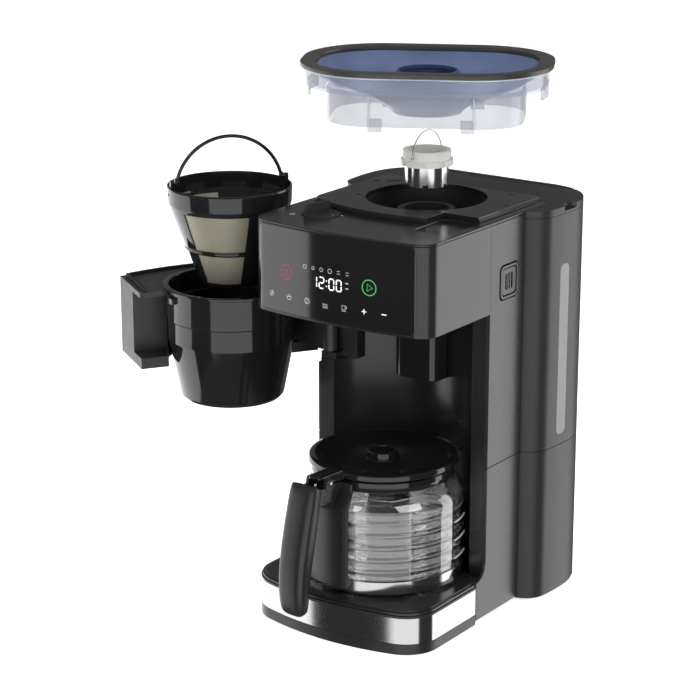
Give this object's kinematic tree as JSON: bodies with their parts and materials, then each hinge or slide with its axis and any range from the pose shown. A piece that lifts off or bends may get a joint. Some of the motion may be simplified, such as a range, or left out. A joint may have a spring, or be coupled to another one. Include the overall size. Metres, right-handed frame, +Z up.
{
  "type": "bean to cup coffee machine",
  "caption": "Bean to cup coffee machine with lift-off hopper, burr ring, swing-out brew basket, mesh filter, glass carafe on a hot plate and lift-off water tank.",
  "frame": {"origin": "on the resting plane, under the middle of the body", "axes": "+X to the machine's right seen from its front, +Y to the back, +Z up"},
  "size_m": [0.3954, 0.3422, 0.5195],
  "materials": {
    "black_plastic": "fine texture",
    "satin_black": "satin moulded",
    "panel_glass": "polished black panel",
    "side_black": "fine texture",
    "stainless": "polished",
    "zinc": "plated",
    "hot_plate_coat": "non-stick coated",
    "rubber": "matte",
    "aluminium": "extruded",
    "board": "solder mask",
    "grey_plastic": "fine texture",
    "pale_plastic": "moulded",
    "silicone": "milky",
    "mesh": "woven, gilt tone",
    "hopper_tint": "tinted clear plastic",
    "clear_glass": "clear",
    "window_clear": "frosted clear plastic",
    "copper_motor": "plated can"
  },
  "bodies": {
    "machine": {"base_shell": "black_plastic", "base_plate": "black_plastic", "rubber_feet": "rubber", "trim_band": "stainless", "base_deck": "satin_black", "hot_plate": "hot_plate_coat", "plate_seal": "rubber", "heater_coil": "aluminium", "column_core": "black_plastic", "side_panels": "side_black", "lower_panels": "side_black", "rear_housing": "black_plastic", "head_shell": "black_plastic", "front_glass": "panel_glass", "control_board": "board", "display_unit": "grey_plastic", "top_cover": "black_plastic", "top_deck": "satin_black", "well_cup": "black_plastic", "grind_chamber": "grey_plastic", "grounds_chute": "grey_plastic", "motor_housing": "black_plastic", "grind_motor": "copper_motor", "shower_head": "grey_plastic", "riser_tube": "silicone", "inlet_tube": "silicone", "deck_screws": "zinc", "base_screws": "zinc", "cord_gland": "rubber", "hinge_bracket": "black_plastic", "hinge_pin": "zinc"},
    "motor_rotor": {"motor_spindle": "zinc"},
    "burr_drive_body": {"burr_drive": "stainless"},
    "button": {"side_button": "side_black"},
    "selector": {"grind_selector": "side_black"},
    "door": {"door_shell": "side_black", "door_gasket": "rubber"},
    "basket": {"brew_basket": "satin_black"},
    "basket_valve": {"drip_valve": "pale_plastic"},
    "filter": {"filter_frame": "black_plastic", "filter_mesh": "mesh"},
    "filter_handle": {"filter_bail": "black_plastic"},
    "hopper_ring": {"hopper_collar": "grey_plastic"},
    "hopper": {"hopper_body": "hopper_tint", "hopper_rim": "rubber"},
    "burr": {"burr_ring": "stainless", "burr_collar": "pale_plastic"},
    "burr_handle": {"burr_bail": "stainless"},
    "carafe": {"carafe_glass": "clear_glass", "carafe_band": "stainless", "carafe_collar": "black_plastic", "carafe_handle": "satin_black", "lid_pin": "zinc"},
    "carafe_cover": {"carafe_lid": "satin_black"},
    "tank": {"tank_body": "black_plastic", "tank_window": "window_clear", "tank_lid_pin": "zinc"},
    "tank_cover": {"tank_lid": "black_plastic"},
    "tank_stop": {"tank_valve": "pale_plastic"}
  },
  "joints": [
    {"name": "door_swing", "type": "hinge", "parent": "machine", "child": "door", "pos_m": [-0.0856, -0.019, 0.263], "axis": [0, 0, 1], "range_deg": [0, 123.6]},
    {"name": "basket_lift", "type": "slide", "parent": "door", "child": "basket", "axis": [0, 0, -1], "range_m": [-0.06, 0]},
    {"name": "basket_valve_push", "type": "slide", "parent": "basket", "child": "basket_valve", "axis": [0, 0, 1], "range_m": [0, 0.004], "stiffness_N_per_m": 60},
    {"name": "filter_lift", "type": "slide", "parent": "machine", "child": "filter", "axis": [0, 0, -1], "range_m": [0, 0.0958]},
    {"name": "filter_bail_swing", "type": "hinge", "parent": "filter", "child": "filter_handle", "pos_m": [-0.16879, -0.0665, 0.4], "axis": [0.6018, 0.7986, 0], "range_deg": [-75, 75]},
    {"name": "hopper_lift", "type": "slide", "parent": "machine", "child": "hopper_ring", "axis": [0, 0, 1], "range_m": [-0.0713, 0]},
    {"name": "hopper_lock_turn", "type": "hinge", "parent": "hopper_ring", "child": "hopper", "pos_m": [0, 0.016, 0.477], "axis": [0, 0, 1], "range_deg": [-28, 0]},
    {"name": "burr_lift", "type": "slide", "parent": "machine", "child": "burr", "axis": [0, 0, 1], "range_m": [-0.041, 0]},
    {"name": "burr_bail_swing", "type": "hinge", "parent": "burr", "child": "burr_handle", "pos_m": [0, 0.016, 0.4296], "axis": [0, 1, 0], "range_deg": [-60, 60]},
    {"name": "motor_spin", "type": "hinge", "parent": "machine", "child": "motor_rotor", "pos_m": [-0.0078, 0.029, 0.305], "axis": [0, 0, 1], "continuous": true},
    {"name": "burr_spin", "type": "hinge", "parent": "machine", "child": "burr_drive_body", "pos_m": [0, 0.016, 0.33], "axis": [0, 0, 1], "continuous": true},
    {"name": "button_press", "type": "slide", "parent": "machine", "child": "button", "axis": [-1, 0, 0], "range_m": [0, 0.003], "stiffness_N_per_m": 400},
    {"name": "grind_select", "type": "hinge", "parent": "machine", "child": "selector", "pos_m": [-0.05, -0.082, 0.384], "axis": [0, 0, 1], "range_deg": [-25, 25]},
    {"name": "carafe_slide", "type": "slide", "parent": "machine", "child": "carafe", "axis": [0, -1, 0], "range_m": [0, 0.22]},
    {"name": "carafe_lid_hinge", "type": "hinge", "parent": "carafe", "child": "carafe_cover", "pos_m": [-0.00784, -0.14366, 0.154], "axis": [-0.9962, 0.0872, 0], "range_deg": [-60, 0]},
    {"name": "tank_lift", "type": "slide", "parent": "machine", "child": "tank", "axis": [0, 0, 1], "range_m": [0, 0.06]},
    {"name": "tank_lid_hinge", "type": "hinge", "parent": "tank", "child": "tank_cover", "pos_m": [0, 0.139, 0.3814], "axis": [-1, 0, 0], "range_deg": [0, 70]},
    {"name": "tank_valve_push", "type": "slide", "parent": "tank", "child": "tank_stop", "axis": [0, 0, 1], "range_m": [0, 0.003], "stiffness_N_per_m": 80}
  ],
  "couplings": [
    {"joint": "burr_spin", "follows": "motor_spin", "ratio": -0.39623}
  ]
}
